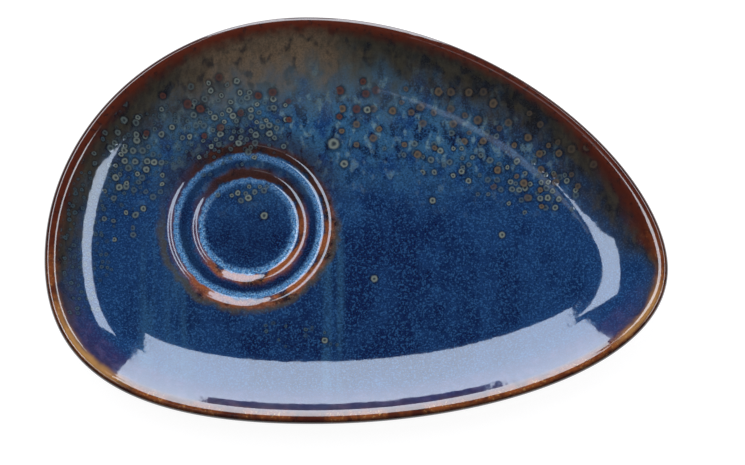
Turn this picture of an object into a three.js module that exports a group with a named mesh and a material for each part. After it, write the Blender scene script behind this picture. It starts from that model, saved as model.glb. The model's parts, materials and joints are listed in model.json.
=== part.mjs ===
// Egg-shaped stoneware saucer with a stepped double cup well set towards its blunt end.
// Millimetres, +Z up. The origin is on the standing plane, in the middle of the outline.
// +X runs from the blunt heel to the pointed tip, and +Y to the far side.
import * as THREE from 'three';
import { mergeVertices } from 'three/addons/utils/BufferGeometryUtils.js';

// Overall sizes of the glazed saucer
const LENGTH = 250;
const WIDTH = 169;
const HEIGHT = 20;

// Outline: where it reaches furthest each way, and how long its curve runs straight from there
const TIP_Y = -20.8;
const TIP_ROUNDING = 40;
const FAR_SIDE_X = -20.2;
const FAR_SIDE_TIPWARD = 79.5;
const FAR_SIDE_HEELWARD = 58.5;
const HEEL_Y = -15;
const HEEL_ROUNDING = 54.5;
const NEAR_SIDE_X = -17;
const NEAR_SIDE_HEELWARD = 62.5;
const NEAR_SIDE_TIPWARD = 70.5;

// Dish section
const WELL_THICKNESS = 4;
const LIP_RADIUS = 1.8;
const LIP_ROLL = 6.5;
const FLAT_ROUND_WELL = 8;

// Foot ring of bare clay
const FOOT_HEIGHT = 3.2;
const FOOT_THICKNESS = 3.5;
const FOOT_SETBACK = 1;
const FOOT_EDGE = 0.7;

// Double cup well: the small cup stands on the disc in the middle, the large cup on the strip
// round it. A rounded step leads up from each, the outer one to the floor of the dish.
const CUP_FROM_HEEL = 81;
const CUP_Y = -1.2;
const SMALL_SEAT_RADIUS = 19.2;
const LARGE_SEAT_WIDTH = 5.2;
const STEP_HEIGHT = 1.15;
const STEP_RUN = 5;

// Coats, and the hairline left between pieces that are bonded to each other
const GLAZE = 0.5;
const BOND = 0.05;
const BAND_OUTSIDE = 3;

// Fineness of the facets
const POINTS_PER_QUARTER = 16;
const WALL_STEPS = 4;
const OUTER_LIP_STEPS = 2;
const UPPER_LIP_STEPS = 4;
const ROLL_STEPS = 3;
const STEP_STEPS = 4;

const CLAY_DEPTH = GLAZE + BOND;
const WELL_TOP = FOOT_HEIGHT + WELL_THICKNESS;
const FLOOR_TOP = WELL_TOP + 2 * STEP_HEIGHT;
const CUP = new THREE.Vector2(CUP_FROM_HEEL - LENGTH / 2, CUP_Y);

// Outline of the rim: four curves between its furthest points, walked anticlockwise from the tip
function rimQuarters() {
  const tip = new THREE.Vector2(LENGTH / 2, TIP_Y);
  const far = new THREE.Vector2(FAR_SIDE_X, WIDTH / 2);
  const heel = new THREE.Vector2(-LENGTH / 2, HEEL_Y);
  const near = new THREE.Vector2(NEAR_SIDE_X, -WIDTH / 2);
  const beside = (point, x, y) => new THREE.Vector2(point.x + x, point.y + y);
  return [
    [tip, beside(tip, 0, TIP_ROUNDING), beside(far, FAR_SIDE_TIPWARD, 0), far],
    [far, beside(far, -FAR_SIDE_HEELWARD, 0), beside(heel, 0, HEEL_ROUNDING), heel],
    [heel, beside(heel, 0, -HEEL_ROUNDING), beside(near, -NEAR_SIDE_HEELWARD, 0), near],
    [near, beside(near, NEAR_SIDE_TIPWARD, 0), beside(tip, 0, -TIP_ROUNDING), tip],
  ].map((points) => new THREE.CubicBezierCurve(...points));
}

// The ways out from the middle, one to each point of the rim. Going inward along a way by some
// distance keeps that distance square to the rim, and the ways close in on the middle of the dish.
function waysRound() {
  const ways = [];
  for (const quarter of rimQuarters()) {
    for (let step = 0; step < POINTS_PER_QUARTER; step++) {
      const along = step / POINTS_PER_QUARTER;
      const rim = quarter.getPoint(along);
      const tangent = quarter.getTangent(along);
      const outward = new THREE.Vector2(tangent.y, -tangent.x);
      const inward = new THREE.Vector2(-rim.x / LENGTH, -rim.y / WIDTH);
      inward.divideScalar(-inward.dot(outward));
      ways.push({ rim, inward, fromCup: rim.clone().sub(CUP).normalize() });
    }
  }
  return ways;
}

const WAYS = waysRound();

// A station is one ring of the surface: a plan place on every way, at one height
const insideRim = (inset, z) => ({ z, place: (way) => way.rim.clone().addScaledVector(way.inward, inset) });
const roundCup = (radius, z) => ({ z, place: (way) => CUP.clone().addScaledVector(way.fromCup, radius) });

// Joins stations in order, and the last to the first, into one closed body.
// Each facet is split the same way going up as coming down, so that the faces of two layers nest.
// A ring of radius 0 is a single point, so the slivers that it leaves are dropped.
function bodyThrough(stations) {
  const count = WAYS.length;
  const positions = stations.flatMap(({ z, place }) => WAYS.flatMap((way) => [...place(way), z]));
  const index = [];
  stations.forEach((station, ring) => {
    const nextRing = (ring + 1) % stations.length;
    const rising = stations[nextRing].z >= station.z;
    for (let step = 0; step < count; step++) {
      const after = (step + 1) % count;
      const [a, b] = [step, after].map((way) => ring * count + way);
      const [d, c] = [step, after].map((way) => nextRing * count + way);
      index.push(...(rising ? [a, b, d, b, c, d] : [a, b, c, a, c, d]));
    }
  });
  const rings = new THREE.BufferGeometry();
  rings.setAttribute('position', new THREE.Float32BufferAttribute(positions, 3));
  rings.setIndex(index);
  const merged = mergeVertices(rings);
  merged.setIndex(withoutSlivers([...merged.index.array]));
  merged.computeVertexNormals();
  return merged;
}

function withoutSlivers(index) {
  const kept = [];
  for (let i = 0; i < index.length; i += 3) {
    const [a, b, c] = index.slice(i, i + 3);
    if (a !== b && b !== c && c !== a) kept.push(a, b, c);
  }
  return kept;
}

// Section of the wall. The lip is round outside and rolls over softly inside. Both faces of the wall
// are arcs that meet it smoothly and run out level, one into the floor and one into the underside.
const LIP_Z = HEIGHT - LIP_RADIUS;
const LARGE_SEAT_RADIUS = SMALL_SEAT_RADIUS + STEP_RUN + LARGE_SEAT_WIDTH;

// The flat floor ends a little way outside the well on the side where the rim is nearest to it
function floorInset() {
  const nearest = Math.min(...WAYS.map((way) => way.rim.distanceTo(CUP)));
  return nearest - (LARGE_SEAT_RADIUS + STEP_RUN + FLAT_ROUND_WELL);
}

function innerArc() {
  const inset = floorInset();
  const run = inset - LIP_RADIUS;
  const tilt = 2 * Math.atan2(HEIGHT - FLOOR_TOP, run);
  const radius = run / Math.sin(tilt) - LIP_ROLL;
  return { inset, z: FLOOR_TOP + radius, radius, tilt };
}

function outerArc(tilt) {
  const rise = LIP_Z - LIP_RADIUS * Math.cos(tilt) - FOOT_HEIGHT;
  const radius = rise / (1 - Math.cos(tilt));
  const inset = LIP_RADIUS * (1 - Math.sin(tilt)) + radius * Math.sin(tilt);
  return { inset, z: FOOT_HEIGHT + radius, radius, tilt };
}

const INNER = innerArc();
const OUTER = outerArc(INNER.tilt);
const OUTER_BAND_END = OUTER.tilt - BAND_OUTSIDE / OUTER.radius;

// Stations along one arc of the section, from one angle to another
function arcStations(centre, radius, from, to, steps) {
  return Array.from({ length: steps + 1 }, (_, step) => {
    const angle = from + ((to - from) * step) / steps;
    return insideRim(centre.inset - radius * Math.sin(angle), centre.z - radius * Math.cos(angle));
  });
}

// The same stretches of the section at any depth below the glazed surface
const innerWall = (depth, from, to, steps) => arcStations(INNER, INNER.radius + depth, from, to, steps);
const outerWall = (depth, from, to, steps) => arcStations(OUTER, OUTER.radius - depth, from, to, steps);

// The lip from the outer wall over its widest and highest points to the end of its inner roll
function lip(depth) {
  const round = { inset: LIP_RADIUS, z: LIP_Z };
  const roll = { inset: LIP_RADIUS, z: HEIGHT - LIP_ROLL };
  const widest = Math.PI / 2;
  const highest = Math.PI;
  return [
    ...arcStations(round, LIP_RADIUS - depth, OUTER.tilt, widest, OUTER_LIP_STEPS),
    ...arcStations(round, LIP_RADIUS - depth, widest, highest, UPPER_LIP_STEPS).slice(1),
    ...arcStations(roll, LIP_ROLL - depth, highest, highest + INNER.tilt, ROLL_STEPS).slice(1),
  ];
}

// Upper surface of the well at a depth below the glaze, from the cup's axis out over both steps.
// Each step is an S curve of two equal arcs, level at both ends.
function steppedWell(depth) {
  const bend = 2 * Math.atan2(STEP_HEIGHT, STEP_RUN);
  const radius = STEP_RUN / 2 / Math.sin(bend);
  const rise = (run) => radius - Math.sqrt(radius ** 2 - run ** 2);
  const step = (toe, z) =>
    Array.from({ length: STEP_STEPS + 1 }, (_, index) => {
      const run = (STEP_RUN * index) / STEP_STEPS;
      const lower = run <= STEP_RUN / 2;
      return roundCup(toe + run, z + (lower ? rise(run) : STEP_HEIGHT - rise(STEP_RUN - run)));
    });
  return [
    roundCup(0, WELL_TOP - depth),
    ...step(SMALL_SEAT_RADIUS, WELL_TOP - depth),
    ...step(LARGE_SEAT_RADIUS, WELL_TOP + STEP_HEIGHT - depth),
  ];
}

// Fired dish: stepped well, floor, wall and the core of the lip
function clayBody() {
  return bodyThrough([
    ...outerWall(CLAY_DEPTH, 0, OUTER_BAND_END, WALL_STEPS),
    ...outerWall(CLAY_DEPTH, OUTER_BAND_END, OUTER.tilt, 1).slice(1),
    ...lip(CLAY_DEPTH).slice(1),
    ...innerWall(CLAY_DEPTH, INNER.tilt, 0, WALL_STEPS).slice(1),
    ...steppedWell(CLAY_DEPTH).reverse(),
    roundCup(0, FOOT_HEIGHT + CLAY_DEPTH),
  ]);
}

const FOOT_OUTER = OUTER.inset + FOOT_SETBACK;
const FOOT_INNER = FOOT_OUTER + FOOT_THICKNESS;
const FOOT_TOP = FOOT_HEIGHT + CLAY_DEPTH - BOND;

// Standing ring, with its lower edges eased
function footRing() {
  return bodyThrough([
    insideRim(FOOT_INNER - FOOT_EDGE, 0),
    insideRim(FOOT_OUTER + FOOT_EDGE, 0),
    insideRim(FOOT_OUTER, FOOT_EDGE),
    insideRim(FOOT_OUTER, FOOT_TOP),
    insideRim(FOOT_INNER, FOOT_TOP),
    insideRim(FOOT_INNER, FOOT_EDGE),
  ]);
}

// Coat over the well, the floor and the inside of the wall up to the lip band
function faceGlaze() {
  const edge = INNER.tilt - BOND / INNER.radius;
  return bodyThrough([
    ...steppedWell(GLAZE),
    ...innerWall(GLAZE, 0, edge, WALL_STEPS),
    ...innerWall(0, edge, 0, WALL_STEPS),
    ...steppedWell(0).reverse(),
  ]);
}

// Thin coat round the lip
function rimBand() {
  const surface = (depth) => [
    ...outerWall(depth, OUTER_BAND_END, OUTER.tilt, 1),
    ...lip(depth).slice(1),
  ];
  return bodyThrough([...surface(0), ...surface(GLAZE).reverse()]);
}

// Coat on the outside of the wall, from the lip band to the foot
function backGlaze() {
  const edge = OUTER_BAND_END - BOND / OUTER.radius;
  const surface = (depth) => [
    insideRim(FOOT_OUTER - BOND, FOOT_HEIGHT + depth),
    ...outerWall(depth, 0, edge, WALL_STEPS),
  ];
  return bodyThrough([...surface(0), ...surface(GLAZE).reverse()]);
}

// Coat on the underside inside the foot
function footWellGlaze() {
  const edge = FOOT_INNER + BOND;
  return bodyThrough([
    roundCup(0, FOOT_HEIGHT),
    insideRim(edge, FOOT_HEIGHT),
    insideRim(edge, FOOT_HEIGHT + GLAZE),
    roundCup(0, FOOT_HEIGHT + GLAZE),
  ]);
}

const bareClay = new THREE.MeshStandardMaterial({ color: 0xb59a78, roughness: 0.85, metalness: 0 });
const blueGlaze = new THREE.MeshStandardMaterial({ color: 0x21406f, roughness: 0.12, metalness: 0 });
const brownBand = new THREE.MeshStandardMaterial({ color: 0x6b3820, roughness: 0.15, metalness: 0 });
const darkGlaze = new THREE.MeshStandardMaterial({ color: 0x2a3148, roughness: 0.18, metalness: 0 });

const saucer = new THREE.Group();

function addPiece(name, geometry, material) {
  const piece = new THREE.Mesh(geometry, material);
  piece.name = name;
  saucer.add(piece);
}

addPiece('clay_body', clayBody(), bareClay);
addPiece('foot_ring', footRing(), bareClay);
addPiece('face_glaze', faceGlaze(), blueGlaze);
addPiece('rim_band', rimBand(), brownBand);
addPiece('back_glaze', backGlaze(), darkGlaze);
addPiece('foot_well_glaze', footWellGlaze(), darkGlaze);

export default saucer;
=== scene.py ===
"""Looks of an egg-shaped stoneware saucer with a reactive blue glaze and a stepped cup well.

Each piece is turned as a round blank on the cup's axis, and then pressed out to the egg outline.
Metres, +Z up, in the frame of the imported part.
"""

import json
import math

import bmesh
import bpy
from mathutils import Color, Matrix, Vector


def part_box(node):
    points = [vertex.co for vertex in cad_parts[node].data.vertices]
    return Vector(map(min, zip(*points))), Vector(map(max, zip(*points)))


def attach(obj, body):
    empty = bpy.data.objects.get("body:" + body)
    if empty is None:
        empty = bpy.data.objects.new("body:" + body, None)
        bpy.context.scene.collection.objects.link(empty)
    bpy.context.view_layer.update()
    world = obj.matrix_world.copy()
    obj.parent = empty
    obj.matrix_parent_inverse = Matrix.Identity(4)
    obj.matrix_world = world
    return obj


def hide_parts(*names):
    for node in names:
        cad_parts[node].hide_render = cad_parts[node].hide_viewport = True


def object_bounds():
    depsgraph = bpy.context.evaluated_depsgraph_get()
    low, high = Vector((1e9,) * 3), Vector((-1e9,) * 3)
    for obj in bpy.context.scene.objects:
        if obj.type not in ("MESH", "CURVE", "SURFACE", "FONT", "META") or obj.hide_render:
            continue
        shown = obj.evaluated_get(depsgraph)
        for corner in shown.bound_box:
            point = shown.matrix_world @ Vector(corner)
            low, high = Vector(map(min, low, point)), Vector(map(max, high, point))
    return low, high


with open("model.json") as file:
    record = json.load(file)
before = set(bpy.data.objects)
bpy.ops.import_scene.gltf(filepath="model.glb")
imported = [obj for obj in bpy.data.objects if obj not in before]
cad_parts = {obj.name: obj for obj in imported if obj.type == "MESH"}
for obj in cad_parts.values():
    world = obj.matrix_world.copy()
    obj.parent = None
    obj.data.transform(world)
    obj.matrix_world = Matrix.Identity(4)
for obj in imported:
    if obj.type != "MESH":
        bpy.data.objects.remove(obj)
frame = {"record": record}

MM = 0.001

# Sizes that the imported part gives
CAD_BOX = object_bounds()
LENGTH, WIDTH, HEIGHT = CAD_BOX[1] - CAD_BOX[0]
SEATS = {mount["name"]: Vector(mount["pos_m"]) for mount in frame["record"]["mounts"]}
CUP = SEATS["small_cup_seat"].xy
WELL_TOP = SEATS["small_cup_seat"].z
STEP_HEIGHT = SEATS["large_cup_seat"].z - WELL_TOP
FLOOR_TOP = WELL_TOP + 2 * STEP_HEIGHT
FOOT_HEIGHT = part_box("foot_well_glaze")[0].z

# Outline: where it reaches furthest each way, and how long its curve runs straight from there
TIP_Y = -20.8 * MM
TIP_ROUNDING = 40 * MM
FAR_SIDE_X = -20.2 * MM
FAR_SIDE_TIPWARD = 79.5 * MM
FAR_SIDE_HEELWARD = 58.5 * MM
HEEL_Y = -15 * MM
HEEL_ROUNDING = 54.5 * MM
NEAR_SIDE_X = -17 * MM
NEAR_SIDE_HEELWARD = 62.5 * MM
NEAR_SIDE_TIPWARD = 70.5 * MM

# Section of the dish and its well
LIP_RADIUS = 1.8 * MM
LIP_ROLL = 6.5 * MM
SMALL_SEAT_RADIUS = 19.2 * MM
LARGE_SEAT_WIDTH = 5.2 * MM
STEP_RUN = 5 * MM
FLAT_ROUND_WELL = 8 * MM
LARGE_SEAT_RADIUS = SMALL_SEAT_RADIUS + STEP_RUN + LARGE_SEAT_WIDTH
WELL_RADIUS = LARGE_SEAT_RADIUS + STEP_RUN

# Foot ring
FOOT_THICKNESS = 3.5 * MM
FOOT_SETBACK = 1 * MM
FOOT_EDGE = 0.7 * MM

# Coats
GLAZE = 0.5 * MM
BOND = 0.05 * MM
BAND_OUTSIDE = 3 * MM
CLAY_DEPTH = GLAZE + BOND

# Fineness of the meshes
WAYS_PER_QUARTER = 72
WALL_STEPS = 24
LIP_STEPS = 32
ROLL_STEPS = 16
BAND_STEPS = 3
STEP_STEPS = 12
EDGE_STEPS = 5
SHARP_EDGE = math.radians(40)

# Where the face's colours are kept: its underside gets a thin strip of the square
UNDERSIDE_STRIP = 0.05
SQUARE_MARGIN = 0.01

# The round blank: its rim, and how far in its foot still follows the outline
BLANK_RADIUS = 90 * MM
FOOT_REACH = 46 * MM


def rim_quarters():
    """The outline as four curves between its furthest points, anticlockwise from the tip."""
    tip = Vector((LENGTH / 2, TIP_Y))
    far = Vector((FAR_SIDE_X, WIDTH / 2))
    heel = Vector((-LENGTH / 2, HEEL_Y))
    near = Vector((NEAR_SIDE_X, -WIDTH / 2))
    along_x = Vector((1, 0))
    along_y = Vector((0, 1))
    return [
        (tip, tip + TIP_ROUNDING * along_y, far + FAR_SIDE_TIPWARD * along_x, far),
        (far, far - FAR_SIDE_HEELWARD * along_x, heel + HEEL_ROUNDING * along_y, heel),
        (heel, heel - HEEL_ROUNDING * along_y, near - NEAR_SIDE_HEELWARD * along_x, near),
        (near, near + NEAR_SIDE_TIPWARD * along_x, tip - TIP_ROUNDING * along_y, tip),
    ]


def point_on(curve, t):
    a, b, c, d = curve
    return a * (1 - t) ** 3 + b * 3 * t * (1 - t) ** 2 + c * 3 * t**2 * (1 - t) + d * t**3


def heading_on(curve, t):
    a, b, c, d = curve
    return ((b - a) * (1 - t) ** 2 + (c - b) * 2 * t * (1 - t) + (d - c) * t**2).normalized()


def ways_round():
    """(rim point, way inward from it, direction from the cup) for each step round the outline.

    A way inward is as long as it takes to come one unit further from the rim, square to it.
    """
    ways = []
    for curve in rim_quarters():
        for step in range(WAYS_PER_QUARTER):
            t = step / WAYS_PER_QUARTER
            rim = point_on(curve, t)
            heading = heading_on(curve, t)
            outward = Vector((heading.y, -heading.x))
            inward = Vector((-rim.x / LENGTH, -rim.y / WIDTH))
            inward /= -inward.dot(outward)
            ways.append((rim, inward, (rim - CUP).normalized()))
    return ways


WAYS = ways_round()

# Section of the wall: an arc up from the floor, the lip's soft roll and round side, and an arc down
LIP_Z = HEIGHT - LIP_RADIUS
FLOOR_INSET = min((rim - CUP).length for rim, _, _ in WAYS) - WELL_RADIUS - FLAT_ROUND_WELL
WALL_RUN = FLOOR_INSET - LIP_RADIUS
TILT = 2 * math.atan2(HEIGHT - FLOOR_TOP, WALL_RUN)
INNER_RADIUS = WALL_RUN / math.sin(TILT) - LIP_ROLL
OUTER_RADIUS = (LIP_Z - LIP_RADIUS * math.cos(TILT) - FOOT_HEIGHT) / (1 - math.cos(TILT))
OUTER_INSET = LIP_RADIUS * (1 - math.sin(TILT)) + OUTER_RADIUS * math.sin(TILT)
OUTER_BAND_END = TILT - BAND_OUTSIDE / OUTER_RADIUS
FOOT_OUTER = OUTER_INSET + FOOT_SETBACK
FOOT_INNER = FOOT_OUTER + FOOT_THICKNESS
FLOOR_EDGE = BLANK_RADIUS - FLOOR_INSET
MIDDLE_OF_CLAY = (FOOT_HEIGHT + WELL_TOP) / 2


def inside_rim(inset, z):
    """A point of the section, by its distance in from the rim."""
    return (BLANK_RADIUS - inset, z)


def arc(centre, radius, start, end, steps):
    """Points of the section along an arc. The angle is 0 straight down and grows towards the rim."""
    inset, z = centre
    angles = [start + (end - start) * step / steps for step in range(steps + 1)]
    return [inside_rim(inset - radius * math.sin(a), z - radius * math.cos(a)) for a in angles]


def inner_wall(depth, start, end, steps=WALL_STEPS):
    return arc((FLOOR_INSET, FLOOR_TOP + INNER_RADIUS), INNER_RADIUS + depth, start, end, steps)


def outer_wall(depth, start, end, steps=WALL_STEPS):
    return arc((OUTER_INSET, FOOT_HEIGHT + OUTER_RADIUS), OUTER_RADIUS - depth, start, end, steps)


def lip(depth):
    """The lip from its outer side over the top to the end of its inner roll."""
    outer = arc((LIP_RADIUS, LIP_Z), LIP_RADIUS - depth, TILT, math.pi, LIP_STEPS)
    inner = arc((LIP_RADIUS, HEIGHT - LIP_ROLL), LIP_ROLL - depth, math.pi, math.pi + TILT, ROLL_STEPS)
    return [*outer, *inner[1:]]


def stepped_well(depth):
    """The well from the cup's axis out over both steps, each an S curve that is level at both ends."""
    bend = 2 * math.atan2(STEP_HEIGHT, STEP_RUN)
    radius = STEP_RUN / 2 / math.sin(bend)

    def rise(run):
        return radius - math.sqrt(radius**2 - run**2)

    def step(toe, z):
        points = []
        for index in range(STEP_STEPS + 1):
            run = STEP_RUN * index / STEP_STEPS
            lower = run <= STEP_RUN / 2
            points.append((toe + run, z + (rise(run) if lower else STEP_HEIGHT - rise(STEP_RUN - run))))
        return points

    small = step(SMALL_SEAT_RADIUS, WELL_TOP - depth)
    large = step(LARGE_SEAT_RADIUS, WELL_TOP + STEP_HEIGHT - depth)
    return [(0, WELL_TOP - depth), *small, *large]


def pressed_place(way, radius, z):
    """Where a point of the blank goes in plan. The well stays round, and the wall follows the rim."""
    rim, inward, from_cup = way
    under = z < MIDDLE_OF_CLAY
    round_to = 0 if under else WELL_RADIUS
    follows_from = BLANK_RADIUS - FOOT_REACH if under else FLOOR_EDGE
    if radius <= round_to:
        return CUP + from_cup * radius
    outer = rim + inward * (BLANK_RADIUS - max(radius, follows_from))
    if radius >= follows_from:
        return outer
    return (CUP + from_cup * round_to).lerp(outer, (radius - round_to) / (follows_from - round_to))


def turned_piece(name, section, closed=True):
    """Spins a section into a blank, presses it to the outline and makes it an object.

    A section that isn't closed starts and ends on the axis.
    """
    bm = bmesh.new()
    inset = bm.verts.layers.float.new("inset")
    verts = [bm.verts.new((radius, 0, z)) for radius, z in section]
    ends = verts[1:] + verts[:1] if closed else verts[1:]
    edges = [bm.edges.new(pair) for pair in zip(verts, ends)]
    bmesh.ops.spin(
        bm,
        geom=verts + edges,
        cent=(0, 0, 0),
        axis=(0, 0, 1),
        angle=math.tau,
        steps=len(WAYS),
        use_merge=True,
    )
    bmesh.ops.remove_doubles(bm, verts=bm.verts, dist=BOND / 100)
    for vert in bm.verts:
        radius = vert.co.xy.length
        turn = math.atan2(vert.co.y, vert.co.x) / math.tau
        way = WAYS[round(turn * len(WAYS)) % len(WAYS)]
        vert[inset] = (BLANK_RADIUS - radius) / MM
        vert.co.xy = pressed_place(way, radius, vert.co.z)
    bmesh.ops.recalc_face_normals(bm, faces=bm.faces)
    for face in bm.faces:
        face.smooth = True
    for edge in bm.edges:
        edge.smooth = edge.calc_face_angle(0) < SHARP_EDGE
    mesh = bpy.data.meshes.new(name)
    bm.to_mesh(mesh)
    bm.free()
    piece = bpy.data.objects.new(name, mesh)
    bpy.context.scene.collection.objects.link(piece)
    return piece


def spread_out(piece):
    """Maps a piece flat: its top over most of the square, and its underside in a strip below."""
    mesh = piece.data
    layer = mesh.uv_layers.new(name="OFBake")
    for face in mesh.polygons:
        top = face.normal.z > 0
        low = UNDERSIDE_STRIP if top else SQUARE_MARGIN
        high = 1 - SQUARE_MARGIN if top else UNDERSIDE_STRIP - SQUARE_MARGIN
        for corner in face.loop_indices:
            place = mesh.vertices[mesh.loops[corner].vertex_index].co
            across = 0.5 + place.x / LENGTH * (1 if top else -1)
            layer.data[corner].uv = (across, low + (0.5 + place.y / WIDTH) * (high - low))
    return piece


def finish_piece(piece, material, node):
    piece.data.materials.append(material)
    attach(piece, "root")
    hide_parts(node)


# Pieces
def fired_clay():
    section = [
        (0, FOOT_HEIGHT + CLAY_DEPTH),
        *outer_wall(CLAY_DEPTH, 0, TILT),
        *lip(CLAY_DEPTH)[1:],
        *inner_wall(CLAY_DEPTH, TILT, 0)[1:],
        *reversed(stepped_well(CLAY_DEPTH)),
    ]
    return turned_piece("fired_clay", section, closed=False)


def standing_foot():
    top = FOOT_HEIGHT + CLAY_DEPTH - BOND
    quarter = math.pi / 2
    outer_edge = arc((FOOT_OUTER + FOOT_EDGE, FOOT_EDGE), FOOT_EDGE, 0, quarter, EDGE_STEPS)
    inner_edge = arc((FOOT_INNER - FOOT_EDGE, FOOT_EDGE), FOOT_EDGE, -quarter, 0, EDGE_STEPS)
    section = [
        *inner_edge,
        *outer_edge,
        inside_rim(FOOT_OUTER, top),
        inside_rim(FOOT_INNER, top),
    ]
    return turned_piece("standing_foot", section)


def glazed_face():
    section = [
        *stepped_well(0),
        *inner_wall(0, 0, TILT),
        *inner_wall(GLAZE, TILT, 0),
        *reversed(stepped_well(GLAZE)),
    ]
    return spread_out(turned_piece("glazed_face", section, closed=False))


def lip_band():
    def surface(depth):
        return [
            *outer_wall(depth, OUTER_BAND_END, TILT, BAND_STEPS),
            *lip(depth)[1:],
        ]

    return turned_piece("lip_band", [*surface(0), *reversed(surface(GLAZE))])


def glazed_back():
    def surface(depth):
        return [
            inside_rim(FOOT_OUTER - BOND, FOOT_HEIGHT + depth),
            *outer_wall(depth, 0, OUTER_BAND_END),
        ]

    return turned_piece("glazed_back", [*surface(0), *reversed(surface(GLAZE))])


def glazed_foot_well():
    section = [
        (0, FOOT_HEIGHT),
        inside_rim(FOOT_INNER + BOND, FOOT_HEIGHT),
        inside_rim(FOOT_INNER + BOND, FOOT_HEIGHT + GLAZE),
        (0, FOOT_HEIGHT + GLAZE),
    ]
    return turned_piece("glazed_foot_well", section, closed=False)


# Colours, as they look on a screen
def shade(red, green, blue):
    linear = Color((red / 255, green / 255, blue / 255)).from_srgb_to_scene_linear()
    return (*linear, 1)


NAVY = shade(8, 20, 54)
DEEP_BLUE = shade(11, 31, 74)
BLUE = shade(25, 58, 104)
LIGHT_BLUE = shade(56, 110, 160)
TEAL = shade(52, 94, 124)
GREY_TEAL = shade(84, 98, 98)
PALE_TEAL = shade(126, 156, 160)
PALE_BLUE = shade(156, 194, 222)
POOLED_BLUE = shade(84, 142, 194)
OLIVE = shade(74, 66, 50)
DARK_OLIVE = shade(46, 42, 36)
GOLD_OLIVE = shade(88, 78, 46)
TAN = shade(130, 106, 82)
RED_BROWN = shade(90, 36, 22)
DARK_BROWN = shade(40, 24, 24)
ORANGE_BROWN = shade(152, 80, 38)
GOLD = shade(196, 144, 84)
PURPLE_BLUE = shade(52, 40, 84)
PURPLE_BROWN = shade(84, 62, 84)
MAUVE = shade(80, 60, 98)
PALE_RING = shade(130, 138, 128)
GREY_RING = shade(92, 112, 116)
BLUE_RING = shade(78, 102, 112)
RING_CENTRE = shade(48, 56, 62)
TAN_SPOT = shade(110, 94, 76)
TAN_CENTRE = shade(74, 66, 58)
RED_SPOT = shade(96, 60, 52)
RED_CENTRE = shade(70, 48, 46)
BLACK_BLUE = shade(8, 14, 30)
BARE_CLAY = shade(186, 158, 124)
CLAY_SHADE = shade(150, 120, 90)
CLAY_GRIT = shade(104, 78, 58)

# Shine of a glaze, the slow waves in its surface, and dull surfaces
GLOSSY = (0.05, 0.11)
DRY_CLAY = (0.75, 0.95)
MATT_PAPER = (0.85, 0.95)
COAT_ROUGHNESS = 0.04
BLUE_SHEEN = (0.55, 0.75, 1, 1)
WAVE_SIZE = 7
WAVE_DEPTH = 0.05

# Spots on the face: how far out a point counts as clear of them, and how far their edges wobble
NO_SPOT = 9
WOBBLE = 0.8
WOBBLE_SIZE = 1.6

# Where spots lie on the face: a centre, its reach each way and how many of the spots come up there
PALE_SPOTS = [
    ((-52, 42), (36, 20), 1.1),
    ((-92, 27), (18, 32), 0.9),
    ((-96, 2), (16, 15), 0.55),
    ((-44, 12), (15, 7), 1.1),
    ((74, 14), (28, 13), 1.0),
    ((44, 27), (40, 17), 0.55),
]
TAN_SPOTS = [
    ((36, 43), (58, 21), 0.75),
    ((80, 24), (34, 24), 0.75),
]
RED_SPOTS = [
    ((-56, 46), (46, 24), 0.5),
    ((0, 52), (20, 14), 0.6),
]
FAINT_SPOTS = [
    ((-109, -6), (14, 46), 1.2),
    ((-58, 37), (36, 18), 1.0),
    ((-92, 24), (22, 28), 0.8),
    ((-25, -46), (30, 9), 0.3),
]

# Single spots that stand apart: a place and a radius
SINGLE_SPOTS = [
    ((7.3, -23.7), 1.3),
    ((59.2, -5.4), 1.2),
    ((-12.6, -49), 1.1),
    ((-9.3, 33), 2.2),
    ((-5, 24.5), 1.5),
    ((4.4, 47.5), 1.4),
    ((-37.5, 3.2), 1.4),
    ((31, 9), 1.2),
]

# Where the lip shows gold: partly its own colour, partly a painted highlight
GOLD_AND_GLINT_PATCHES = [
    ((-99, -48), (30, 30), 1.0),
    ((114, -42), (18, 24), 0.7),
]

# Runs of thicker coat down the floor: the middle of each and its half width
RUNS = [(-71, 5), (-84, 2.5), (-6.5, 1.4), (-12, 2)]


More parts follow.
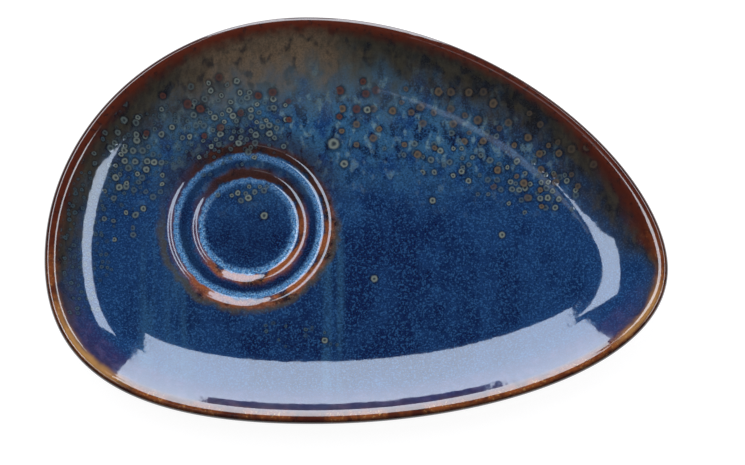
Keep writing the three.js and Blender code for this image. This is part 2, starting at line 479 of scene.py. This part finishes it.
class Finish:
    """One material's nodes. Each call takes numbers, colours or sockets, and gives back a socket.

    Lengths in a finish are millimetres.
    """

    def __init__(self, name):
        self.material = bpy.data.materials.new(name)
        self.material.use_nodes = True
        self.tree = self.material.node_tree
        self.shader = self.tree.nodes["Principled BSDF"]
        coordinates = self.add("ShaderNodeTexCoord", {})
        self.place = self.vector("DIVIDE", coordinates["Object"], (MM, MM, MM))
        across = self.add("ShaderNodeSeparateXYZ", {0: self.place})
        self.x, self.y, self.z = across["X"], across["Y"], across["Z"]

    def add(self, kind, inputs, **settings):
        node = self.tree.nodes.new(kind)
        for name, value in settings.items():
            setattr(node, name, value)
        for name, value in inputs.items():
            if isinstance(value, bpy.types.NodeSocket):
                self.tree.links.new(value, node.inputs[name])
            else:
                node.inputs[name].default_value = value
        return node.outputs

    def calc(self, operation, *values):
        return self.add("ShaderNodeMath", dict(enumerate(values)), operation=operation)[0]

    def product(self, first, *others):
        for other in others:
            first = self.calc("MULTIPLY", first, other)
        return first

    def vector(self, operation, *values):
        outputs = self.add("ShaderNodeVectorMath", dict(enumerate(values)), operation=operation)
        return outputs["Value" if operation in ("LENGTH", "DISTANCE") else "Vector"]

    def smooth(self, value, start, end, low=0, high=1):
        """From low to high, as the value goes from start to end."""
        inputs = {"Value": value, "From Min": start, "From Max": end, "To Min": low, "To Max": high}
        return self.add("ShaderNodeMapRange", inputs, interpolation_type="SMOOTHSTEP")[0]

    def hump(self, value, rise, top, fall, end):
        """1 between top and fall, and 0 before rise and after end."""
        return self.product(self.smooth(value, rise, top), self.smooth(value, end, fall))

    def mix(self, factor, below, above):
        inputs = {"Factor": factor, 6: below, 7: above}
        return self.add("ShaderNodeMix", inputs, data_type="RGBA")[2]

    def clouds(self, size, detail, seed, drawn_out):
        scales = [1 / (size * factor) for factor in drawn_out]
        place = self.vector("MULTIPLY_ADD", self.place, scales, (seed, seed, seed))
        return self.add("ShaderNodeTexNoise", {"Vector": place, "Scale": 1, "Detail": detail})

    def noise(self, size, detail=2, seed=0, drawn_out=(1, 1, 1)):
        """Soft patches about as wide as the size, around 0.5, drawn out each way by a factor."""
        return self.clouds(size, detail, seed, drawn_out)[0]

    def waves(self):
        return self.noise(WAVE_SIZE, 2, seed=30)

    def inset(self):
        """How far in from the rim a point was on the round blank."""
        return self.add("ShaderNodeAttribute", {}, attribute_name="inset")["Fac"]

    def in_plan(self, place):
        return self.vector("MULTIPLY", place, (1, 1, 0))

    def wobbled(self, size, reach):
        """The place in plan, shifted a little to and fro."""
        shift = self.vector("SUBTRACT", self.clouds(size, 1, 50, (1, 1, 1))[1], (0.5, 0.5, 0.5))
        return self.in_plan(self.vector("MULTIPLY_ADD", shift, (reach, reach, reach), self.place))

    def patches(self, place, listed):
        """How strong the strongest of several soft ellipses is at a place in plan."""
        strongest = 0
        for centre, reach, strength in listed:
            away = self.vector("DIVIDE", self.vector("SUBTRACT", place, (*centre, 0)), (*reach, 1))
            patch = self.smooth(self.vector("LENGTH", away), 1, 0.3, 0, strength)
            strongest = self.calc("MAXIMUM", strongest, patch)
        return strongest

    def spots(self, spacing, radii, listed):
        """How far each point is from a spot, in spot radii, and a chance number for each spot."""
        cells = self.add(
            "ShaderNodeTexVoronoi",
            {"Vector": self.wobbled(WOBBLE_SIZE, WOBBLE), "Scale": 1 / spacing, "Randomness": 0.9},
            voronoi_dimensions="2D",
        )
        chance = self.add("ShaderNodeSeparateColor", {0: cells["Color"]})
        there = self.calc("LESS_THAN", chance["Red"], self.patches(cells["Position"], listed))
        radius = self.smooth(chance["Green"], 0, 1, *radii)
        away = self.calc("DIVIDE", self.product(cells["Distance"], spacing), radius)
        clear = self.calc("MULTIPLY_ADD", there, -NO_SPOT, NO_SPOT)
        return self.calc("ADD", away, clear), chance["Blue"]

    def single_spots(self, listed):
        """How far each point is from the nearest of several spots, in spot radii."""
        nearest = NO_SPOT
        place = self.wobbled(WOBBLE_SIZE, WOBBLE)
        for centre, radius in listed:
            away = self.calc("DIVIDE", self.vector("DISTANCE", place, (*centre, 0)), radius)
            nearest = self.calc("MINIMUM", nearest, away)
        return nearest

    def colour(self, socket):
        self.tree.links.new(socket, self.shader.inputs["Base Color"])

    def shine(self, roughness, coat=1):
        """Roughness from patch to patch, and a clear coat of glass."""
        uneven = self.smooth(self.noise(3, 2, seed=40), 0.35, 0.65, *roughness)
        self.tree.links.new(uneven, self.shader.inputs["Roughness"])
        self.shader.inputs["Coat Weight"].default_value = coat
        self.shader.inputs["Coat Roughness"].default_value = COAT_ROUGHNESS

    def relief(self, height, depth):
        bump = self.add("ShaderNodeBump", {"Height": height, "Distance": depth * MM})
        self.tree.links.new(bump["Normal"], self.shader.inputs["Normal"])
        self.tree.links.new(bump["Normal"], self.shader.inputs["Coat Normal"])


def grain(finish, colour, dark, light, strength):
    """Fine speckle, darker and lighter than the coat."""
    low = finish.smooth(finish.noise(0.7, 1, seed=10), 0.46, 0.68, 0, strength)
    high = finish.smooth(finish.noise(0.7, 1, seed=20), 0.48, 0.7, 0, strength)
    return finish.mix(high, finish.mix(low, colour, dark), light)


def tip_side(finish, most):
    """From nothing in the middle of the dish to the most towards the tip."""
    return finish.smooth(finish.x, 10, 60, 0, most)


def floor_blue(finish):
    """Deep blue with a few runs down the dish, and a mottle of teal towards the far side."""
    clouds = finish.noise(14, 3, seed=1)
    drift = finish.noise(4, 2, seed=2, drawn_out=(1, 9, 1))
    sides = finish.smooth(finish.calc("ABSOLUTE", finish.x), 20, 90, 0, 0.25)
    upper = finish.smooth(finish.y, -8, 14, 0, 0.25)
    tone = finish.calc("ADD", clouds, finish.calc("MAXIMUM", sides, upper))
    tone = finish.calc("MULTIPLY_ADD", drift, 0.35, tone)
    colour = finish.mix(finish.smooth(tone, 0.55, 0.95), DEEP_BLUE, BLUE)
    near = finish.product(finish.smooth(finish.y, 4, -14), finish.smooth(drift, 0.3, 0.6))
    for middle, half in RUNS:
        run = finish.hump(finish.x, middle - 2 * half, middle, middle, middle + 2 * half)
        colour = finish.mix(finish.product(run, near, 0.6), colour, TEAL)
    far = finish.smooth(finish.calc("MULTIPLY_ADD", clouds, 26, finish.y), 10, 50)
    teal = finish.smooth(finish.noise(6, 3, seed=3, drawn_out=(1, 1.6, 1)), 0.36, 0.56)
    tipward = finish.smooth(finish.x, 95, 40, 0.35, 0.95)
    colour = finish.mix(finish.product(far, teal, tipward), colour, TEAL)
    dark = finish.noise(4.6, 2, seed=4, drawn_out=(1, 1.8, 1))
    dark = finish.smooth(finish.calc("ADD", dark, tip_side(finish, 0.05)), 0.52, 0.64)
    colour = finish.mix(finish.product(far, dark, 0.85), colour, NAVY)
    pale = finish.smooth(finish.noise(3.4, 2, seed=5, drawn_out=(1, 1.6, 1)), 0.55, 0.7)
    colour = finish.mix(finish.product(far, pale, 0.6), colour, PALE_TEAL)
    return grain(finish, colour, NAVY, LIGHT_BLUE, 0.5)


def round_the_cup(finish):
    """The distance from the cup's axis, and the direction from it."""
    from_cup = finish.in_plan(finish.vector("SUBTRACT", finish.place, (CUP.x / MM, CUP.y / MM, 0)))
    direction = finish.add("ShaderNodeSeparateXYZ", {0: finish.vector("NORMALIZE", from_cup)})
    return finish.vector("LENGTH", from_cup), direction


def step_brown(finish, patchy, direction):
    """Brown over the edge of a step: orange at the near side, dark at the far side, purple at the heel.
    The dark at the far side is painted shade, where the step faces away from the back lamp.
    """
    brown = finish.mix(finish.smooth(patchy, 0.34, 0.56), DARK_BROWN, ORANGE_BROWN)
    brown = grain(finish, brown, DARK_BROWN, GOLD, 0.25)
    # Painted shade: darker towards the far side, where the step's slope faces away from the back lamp
    brown = finish.mix(finish.smooth(direction["Y"], -0.1, 0.6, 0, 0.85), brown, DARK_BROWN)
    return finish.mix(finish.smooth(direction["X"], -0.65, -0.95, 0, 0.7), brown, PURPLE_BROWN)


def step_pool(finish, direction):
    """Pale blue at the foot of a step, dimmer at the far side."""
    pool = grain(finish, POOLED_BLUE, DEEP_BLUE, PALE_BLUE, 0.85)
    return finish.mix(finish.smooth(direction["Y"], -0.2, 0.8, 0, 0.45), pool, BLUE)


def well_bands(finish, colour):
    """Pale blue where the coat pools at the foot of each step, and brown where it thins over its edge."""
    small_seat = SMALL_SEAT_RADIUS / MM
    small_step = (SMALL_SEAT_RADIUS + STEP_RUN) / MM
    large_seat = LARGE_SEAT_RADIUS / MM
    well = WELL_RADIUS / MM
    away, direction = round_the_cup(finish)
    patchy = finish.noise(7, 3, seed=7)
    ragged = finish.calc("SUBTRACT", away, 0.9)
    ragged = finish.calc("MULTIPLY_ADD", finish.noise(2.6, 2, seed=6), 1.8, ragged)
    loose = finish.calc("MULTIPLY_ADD", patchy, 6, finish.calc("SUBTRACT", ragged, 3))
    tucked = finish.calc("ADD", loose, finish.smooth(direction["X"], -0.4, -0.9, 0, 2))

    far_side = finish.smooth(direction["Y"], 0.1, 0.7, 0, 0.6)
    above = finish.hump(loose, well - 4.4, well + 0.6, well + 2.6, well + 11.6)
    colour = finish.mix(finish.product(above, far_side), colour, DARK_BROWN)
    disc = finish.smooth(away, small_seat - 1.2, small_seat - 8.2)
    colour = finish.mix(finish.product(disc, finish.smooth(finish.y, 10, -8, 0.05, 0.35)), colour, NAVY)
    near_side = finish.smooth(direction["Y"], 0.5, -0.2, 0, 0.6)
    fringe = finish.hump(loose, well - 1, well + 0.5, well + 1.5, well + 4)
    colour = finish.mix(finish.product(fringe, near_side), colour, GOLD_OLIVE)

    worn = finish.smooth(finish.calc("ADD", direction["X"], patchy), -0.5, 0.1, 0.7, 0.95)
    brown = step_brown(finish, patchy, direction)
    pool = step_pool(finish, direction)
    for toe in (small_seat, large_seat):
        edge = finish.hump(tucked, toe + 0.8, toe + 2, toe + 4.2, toe + 7)
        colour = finish.mix(finish.product(edge, worn), colour, brown)
        foot = finish.hump(ragged, toe - 2.3, toe - 0.2, toe + 0.5, toe + 1.5)
        colour = finish.mix(foot, colour, pool)
    strip = finish.hump(away, small_step - 0.2, small_step + 1.3, large_seat - 2.4, large_seat - 1)
    return finish.mix(finish.product(strip, 0.55), colour, NAVY)


def thin_on_the_wall(finish, colour, inset):
    """Grey teal, olive and tan where the coat runs thin up the wall, widest at the far side."""
    ragged = finish.noise(7, 3, seed=8, drawn_out=(1, 1.6, 1))
    across = finish.calc("MULTIPLY_ADD", ragged, 30, finish.x)
    bare = finish.hump(across, -66, -36, -8, 22)
    pale = finish.hump(across, -90, -30, 10, 60)
    tip = finish.product(finish.smooth(finish.x, 72, 112), finish.smooth(finish.y, -22, -6))
    heel = finish.product(finish.smooth(finish.x, -92, -116), finish.hump(finish.y, -50, -20, 5, 35))
    width = finish.calc("MULTIPLY_ADD", tip, 10, finish.smooth(finish.y, -30, 60, 6, 20))
    width = finish.calc("MULTIPLY_ADD", heel, 5, width)
    width = finish.calc("MULTIPLY_ADD", bare, finish.smooth(finish.y, 10, 50, 0, 3), width)
    depth = finish.calc("MULTIPLY_ADD", ragged, 1.3, finish.calc("DIVIDE", inset, width))
    streaks = finish.noise(2.2, 3, seed=9, drawn_out=(1, 5, 1))
    olive = finish.mix(finish.smooth(streaks, 0.3, 0.7, 0.2, 1), DARK_OLIVE, OLIVE)
    olive = finish.mix(finish.product(bare, finish.smooth(streaks, 0.25, 0.6, 0.5, 0.9)), olive, TAN)
    smears = finish.noise(5, 3, seed=11, drawn_out=(1, 1.5, 1))
    smears = finish.smooth(finish.calc("ADD", smears, tip_side(finish, 0.07)), 0.52, 0.66, 0, 0.7)
    olive = grain(finish, finish.mix(smears, olive, BLACK_BLUE), DARK_OLIVE, OLIVE, 0.3)
    veil = finish.product(finish.smooth(depth, 2.8, 1.4), finish.smooth(pale, 0, 1, 0.15, 0.8))
    colour = finish.mix(veil, colour, GREY_TEAL)
    colour = finish.mix(finish.smooth(depth, 2.1, 1.1, 0, 0.95), colour, olive)
    return brown_at_the_lip(finish, colour, inset, tip)


def lip_brown(finish, inset, near):
    """Red at the far side, orange and gold at the near side, and dark at the very rim. The near side's
    orange and gold are partly painted light of the back lamp on the lip, the gold patches partly a painted
    highlight, and the dark at the very rim partly painted shade on the lip's outer roll.
    """
    patchy = finish.noise(8, 3, seed=13)
    # Orange towards the near side: partly the lip's own colour, partly painted light of the back lamp on
    # the lip's inner face
    brown = finish.mix(finish.product(near, finish.smooth(patchy, 0.35, 0.6)), RED_BROWN, ORANGE_BROWN)
    dark = finish.smooth(finish.noise(2.5, 3, seed=14), 0.5, 0.7, 0, 0.6)
    brown = finish.mix(dark, brown, DARK_BROWN)
    # Gold flecks towards the near side: partly the lip's own flecks, partly painted light of the back lamp
    flecks = finish.smooth(finish.noise(1.1, 2, seed=15), 0.55, 0.7)
    brown = finish.mix(finish.product(flecks, near, finish.smooth(patchy, 0.4, 0.6)), brown, GOLD)
    # Gold patches on the lip: partly its own colour, partly a painted highlight
    gold_and_glint = finish.patches(finish.in_plan(finish.place), GOLD_AND_GLINT_PATCHES)
    brown = finish.mix(finish.product(gold_and_glint, finish.hump(inset, 1, 2, 4, 7)), brown, GOLD)
    # Darker over the lip's outer roll: partly the lip's own dark brown, partly painted shade
    return finish.mix(finish.smooth(inset, 2.4, 0.4, 0, 0.75), brown, DARK_BROWN)


def brown_at_the_lip(finish, colour, inset, tip):
    """The coat turns purple up the near wall, and breaks to brown over the lip."""
    nearest = finish.smooth(finish.y, -18, -58, 0, 0.65)
    purple = finish.product(nearest, finish.hump(inset, 2, 5, 11, 16))
    mauve = finish.smooth(finish.noise(4, 4, seed=16), 0.45, 0.65)
    colour = finish.mix(purple, colour, finish.mix(mauve, PURPLE_BLUE, MAUVE))
    near = finish.smooth(finish.y, 10, -45)
    far_width = finish.calc("SUBTRACT", 5.9, tip_side(finish, 1.1))
    width = finish.calc("MULTIPLY_ADD", tip, 4, finish.smooth(near, 0, 1, far_width, 4.2))
    depth = finish.calc("DIVIDE", inset, width)
    depth = finish.calc("MULTIPLY_ADD", finish.noise(5, 3, seed=12), 0.7, depth)
    return finish.mix(finish.smooth(depth, 1.8, 0.9), colour, lip_brown(finish, inset, near))


def spotted(finish, colour, away, show, ring, centre):
    """One kind of spot over the coat: a dark halo, a ring and a dull centre."""
    halo = finish.smooth(away, 2.2, 0.9, 0, 0.8)
    colour = finish.mix(finish.product(halo, show), colour, BLACK_BLUE)
    inside = finish.mix(finish.smooth(away, 0.15, 0.8), centre, ring)
    return finish.mix(finish.product(finish.smooth(away, 1.25, 0.7), show), colour, inside)


def blue_glaze():
    finish = Finish("blue_glaze")
    colour = well_bands(finish, floor_blue(finish))
    colour = thin_on_the_wall(finish, colour, finish.inset())
    faint, faint_chance = finish.spots(2.6, (0.5, 0.85), FAINT_SPOTS)
    pale, pale_chance = finish.spots(3.8, (0.85, 1.3), PALE_SPOTS)
    tan, tan_chance = finish.spots(6.2, (1.0, 1.6), TAN_SPOTS)
    red, red_chance = finish.spots(7.2, (1.1, 1.7), RED_SPOTS)
    single = finish.single_spots(SINGLE_SPOTS)
    pale_ring = finish.mix(pale_chance, GREY_RING, PALE_RING)
    kinds = [
        (faint, finish.smooth(faint_chance, 0, 1, 0.25, 0.7), BLUE_RING, RING_CENTRE),
        (pale, finish.smooth(pale_chance, 0, 1, 0.5, 0.95), pale_ring, RING_CENTRE),
        (tan, finish.smooth(tan_chance, 0, 1, 0.5, 0.95), TAN_SPOT, TAN_CENTRE),
        (red, finish.smooth(red_chance, 0, 1, 0.5, 0.95), RED_SPOT, RED_CENTRE),
        (single, 0.9, PALE_RING, RING_CENTRE),
    ]
    for away, show, ring, centre in kinds:
        colour = spotted(finish, colour, away, show, ring, centre)
    finish.colour(colour)
    finish.shine(GLOSSY)
    finish.shader.inputs["Specular Tint"].default_value = BLUE_SHEEN
    nearest = single
    for away in (pale, tan, red):
        nearest = finish.calc("MINIMUM", nearest, away)
    craters = finish.smooth(nearest, 0.4, 1.3, 0, 0.25)
    finish.relief(finish.calc("ADD", finish.waves(), craters), WAVE_DEPTH)
    return finish.material


def brown_band():
    finish = Finish("brown_band")
    finish.colour(thin_on_the_wall(finish, floor_blue(finish), finish.inset()))
    finish.shine(GLOSSY)
    finish.relief(finish.waves(), WAVE_DEPTH)
    return finish.material


def dark_glaze():
    """Coat on the back and underside: dark blue with brown specks, thin and brown towards the lip."""
    finish = Finish("dark_glaze")
    clouds = finish.noise(16, 3, seed=1)
    colour = finish.mix(finish.smooth(clouds, 0.38, 0.62), NAVY, DEEP_BLUE)
    colour = grain(finish, colour, BLACK_BLUE, BLUE, 0.5)
    height = finish.calc("MULTIPLY_ADD", clouds, 7, finish.z)
    colour = finish.mix(finish.smooth(height, 12, 19), colour, RED_BROWN)
    specks = finish.smooth(finish.noise(2.2, 2, seed=2), 0.6, 0.68, 0, 0.8)
    colour = finish.mix(specks, colour, DARK_BROWN)
    finish.colour(colour)
    finish.shine(GLOSSY)
    finish.relief(finish.waves(), WAVE_DEPTH)
    return finish.material


def bare_clay():
    """Fired stoneware: warm beige with iron grit."""
    finish = Finish("bare_clay")
    clouds = finish.noise(11, 3, seed=1)
    colour = finish.mix(finish.smooth(clouds, 0.35, 0.65), BARE_CLAY, CLAY_SHADE)
    grit = finish.smooth(finish.noise(0.9, 2, seed=2), 0.62, 0.72)
    finish.colour(finish.mix(grit, colour, CLAY_GRIT))
    finish.shine(DRY_CLAY, coat=0)
    finish.relief(finish.noise(0.7, 3, seed=3), 0.06)
    return finish.material


CLAY = bare_clay()
BACK = dark_glaze()

finish_piece(fired_clay(), CLAY, "clay_body")
finish_piece(standing_foot(), CLAY, "foot_ring")
finish_piece(glazed_face(), blue_glaze(), "face_glaze")
finish_piece(lip_band(), brown_band(), "rim_band")
finish_piece(glazed_back(), BACK, "back_glaze")
finish_piece(glazed_foot_well(), BACK, "foot_well_glaze")

# Studio
FLOOR_SIDE = 40
FLOOR_GAP = 0.2 * MM
FLOOR_WHITE = shade(230, 230, 230)
FLOOR_SHADE = shade(120, 120, 120)
FLOOR_GLOW = 0.945
LAMP_COLOUR = (0.88, 0.93, 1.02)
LAMP_RADIANCE = 5.6
WORLD_LIGHT = 0.04
CEILING = 3

# Panels on one leaning plane behind the saucer: the plane, and where the panels meet across and up it
PANEL_FOOT_Y = 0.806
PANEL_LEAN = 15
HIGH_PANEL_LEFT = -0.255
HIGH_PANEL_RIGHT = 0.215
LOW_PANEL_LEFT = -0.3225
LOW_PANEL_RIGHT = 0.2625
LEFT_CARD_RIGHT = -0.0995
HALF_CARD_LEFT = 0.0137
RIGHT_CARD_LEFT = 0.0232
CARD_BOTTOM = 0.02
HALF_CARD_BOTTOM = 0.14
CARD_TOP = 0.26
LOW_PANEL_TOP = 1.2424
HIGH_PANEL_TOP = 3.5614


def seen(finish):
    """1 for what the camera sees, straight, in a reflection or through glass."""
    paths = finish.add("ShaderNodeLightPath", {})
    straight = paths["Is Camera Ray"]
    reflected = finish.calc("MAXIMUM", paths["Is Glossy Ray"], paths["Is Transmission Ray"])
    return finish.calc("MAXIMUM", straight, reflected)


def white_floor():
    """White paper that still takes a faint shadow."""
    finish = Finish("white_floor")
    finish.shine(MATT_PAPER, coat=0)
    finish.colour(finish.mix(seen(finish), FLOOR_WHITE, FLOOR_SHADE))
    finish.shader.inputs["Specular IOR Level"].default_value = 0
    finish.shader.inputs["Emission Color"].default_value = (1, 1, 1, 1)
    glow = finish.product(seen(finish), FLOOR_GLOW)
    finish.tree.links.new(glow, finish.shader.inputs["Emission Strength"])
    return finish.material


def floor():
    bm = bmesh.new()
    bmesh.ops.create_grid(bm, x_segments=1, y_segments=1, size=FLOOR_SIDE / 2)
    bmesh.ops.translate(bm, verts=bm.verts, vec=(0, 0, -FLOOR_GAP))
    mesh = bpy.data.meshes.new("floor")
    bm.to_mesh(mesh)
    bm.free()
    piece = bpy.data.objects.new("floor", mesh)
    bpy.context.scene.collection.objects.link(piece)
    piece.data.materials.append(white_floor())


def softbox(name, centre, width, height, turn=(0, 0, 0), share=1):
    """A rectangular lamp. It is turned by degrees about X, Y and Z, and has a share of the brightness."""
    lamp = bpy.data.lights.new(name, "AREA")
    lamp.shape = "RECTANGLE"
    lamp.size = width
    lamp.size_y = height
    lamp.color = LAMP_COLOUR
    lamp.energy = LAMP_RADIANCE * share * math.pi * width * height
    piece = bpy.data.objects.new(name, lamp)
    bpy.context.scene.collection.objects.link(piece)
    piece.location = centre
    piece.rotation_euler = [math.radians(angle) for angle in turn]
    piece.visible_camera = False


def back_panel(name, left, right, low, high):
    """A lamp on the plane behind the saucer, by its sides and by its ends up the plane."""
    lean = math.radians(PANEL_LEAN)
    middle = (low + high) / 2
    centre = ((left + right) / 2, PANEL_FOOT_Y + middle * math.sin(lean), middle * math.cos(lean))
    softbox(name, centre, right - left, high - low, turn=(90 + PANEL_LEAN, 0, 180))


def world_light():
    world = bpy.data.worlds.new("studio")
    bpy.context.scene.world = world
    world.use_nodes = True
    background = world.node_tree.nodes["Background"]
    background.inputs["Color"].default_value = (1, 1, 1, 1)
    background.inputs["Strength"].default_value = WORLD_LIGHT


# Camera, as the photograph was taken
ELEVATION = math.radians(76)
CAMERA_DISTANCE = 1.0
FRAME_WIDTH = 300 * MM
AIM_RIGHT = 6.6 * MM
AIM_DOWN = 6.4 * MM


def camera():
    lens = bpy.data.cameras.new("camera")
    lens.lens = lens.sensor_width * CAMERA_DISTANCE / FRAME_WIDTH
    piece = bpy.data.objects.new("camera", lens)
    bpy.context.scene.collection.objects.link(piece)
    back = Vector((0, -math.cos(ELEVATION), math.sin(ELEVATION)))
    up = Vector((0, math.sin(ELEVATION), math.cos(ELEVATION)))
    aim = Vector((AIM_RIGHT, 0, LIP_Z)) - up * AIM_DOWN
    piece.location = aim + back * CAMERA_DISTANCE
    piece.rotation_euler = back.to_track_quat("Z", "Y").to_euler()
    bpy.context.scene.camera = piece


floor()
world_light()
back_panel("back_softbox", HIGH_PANEL_LEFT, HIGH_PANEL_RIGHT, LOW_PANEL_TOP, HIGH_PANEL_TOP)
back_panel("low_back_softbox", LOW_PANEL_LEFT, LOW_PANEL_RIGHT, CARD_TOP, LOW_PANEL_TOP)
back_panel("left_card", LOW_PANEL_LEFT, LEFT_CARD_RIGHT, CARD_BOTTOM, CARD_TOP)
back_panel("right_half_card", HALF_CARD_LEFT, RIGHT_CARD_LEFT, HALF_CARD_BOTTOM, CARD_TOP)
back_panel("right_card", RIGHT_CARD_LEFT, LOW_PANEL_RIGHT, CARD_BOTTOM, CARD_TOP)
softbox("right_softbox", centre=(0.62, 0.355, 1), width=0.26, height=1.07, turn=(0, 0, 11))
softbox("left_softbox", centre=(-1.19, 1.15, CEILING), width=1.15, height=2.46)
softbox("top_softbox", centre=(-0.36, 0.075, CEILING), width=0.24, height=0.33, share=0.15)
camera()

bpy.context.scene.view_settings.view_transform = "Standard"
